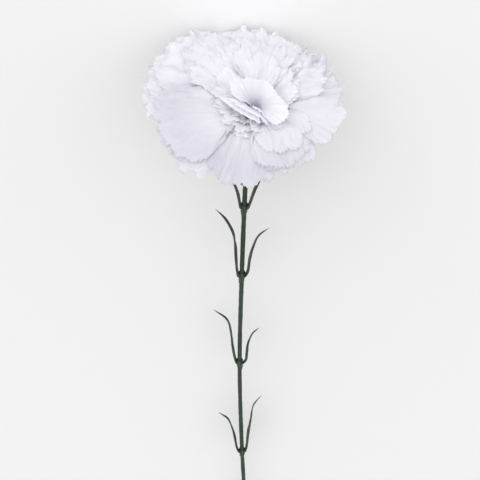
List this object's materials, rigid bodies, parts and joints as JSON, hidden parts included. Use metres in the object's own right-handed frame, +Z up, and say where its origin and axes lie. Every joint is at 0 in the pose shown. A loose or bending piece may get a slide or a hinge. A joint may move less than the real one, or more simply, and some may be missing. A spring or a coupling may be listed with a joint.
{
  "type": "artificial carnation",
  "caption": "White artificial carnation lying on its side, with ruffled cloth petals, a moulded calyx and narrow paired leaves on a sheathed wire stem.",
  "frame": {"origin": "middle of the flower's bounding box, on the surface it lies on", "axes": "+Y along the stem from the cut end to the bloom, +Z up, +X to the bloom's right seen from its face with the sky side nearest"},
  "size_m": [0.0848, 0.5082, 0.0736],
  "materials": {
    "petal_cloth": "thin white woven cloth with a matt starched finish and a fine frayed cut edge",
    "leaf_plastic": "dark green moulded polyethylene, slightly waxy",
    "stem_plastic": "dark green extruded polyethylene sheath, slightly waxy",
    "calyx_plastic": "green moulded polyethylene",
    "core_plastic": "pale green moulded polyethylene, hidden",
    "wire_steel": "drawn steel wire"
  },
  "bodies": {
    "root": {"petal_1_1": "petal_cloth", "petal_1_2": "petal_cloth", "petal_1_3": "petal_cloth", "petal_1_4": "petal_cloth", "petal_1_5": "petal_cloth", "petal_1_6": "petal_cloth", "petal_1_7": "petal_cloth", "petal_2_1": "petal_cloth", "petal_2_2": "petal_cloth", "petal_2_3": "petal_cloth", "petal_2_4": "petal_cloth", "petal_2_5": "petal_cloth", "petal_2_6": "petal_cloth", "petal_2_7": "petal_cloth", "petal_3_1": "petal_cloth", "petal_3_2": "petal_cloth", "petal_3_3": "petal_cloth", "petal_3_4": "petal_cloth", "petal_3_5": "petal_cloth", "petal_3_6": "petal_cloth", "petal_4_1": "petal_cloth", "petal_4_2": "petal_cloth", "petal_4_3": "petal_cloth", "petal_4_4": "petal_cloth", "petal_4_5": "petal_cloth", "petal_4_6": "petal_cloth", "petal_5_1": "petal_cloth", "petal_5_2": "petal_cloth", "petal_5_3": "petal_cloth", "petal_5_4": "petal_cloth", "petal_5_5": "petal_cloth", "petal_6_1": "petal_cloth", "petal_6_2": "petal_cloth", "petal_6_3": "petal_cloth", "petal_6_4": "petal_cloth", "petal_7_1": "petal_cloth", "petal_7_2": "petal_cloth", "petal_7_3": "petal_cloth", "calyx": "calyx_plastic", "epicalyx": "calyx_plastic", "flower_core": "core_plastic", "stem": "stem_plastic", "stem_wire": "wire_steel", "leaf_pair_1": "leaf_plastic", "leaf_pair_2": "leaf_plastic", "leaf_pair_3": "leaf_plastic", "leaf_pair_4": "leaf_plastic", "leaf_pair_5": "leaf_plastic"}
  },
  "joints": []
}
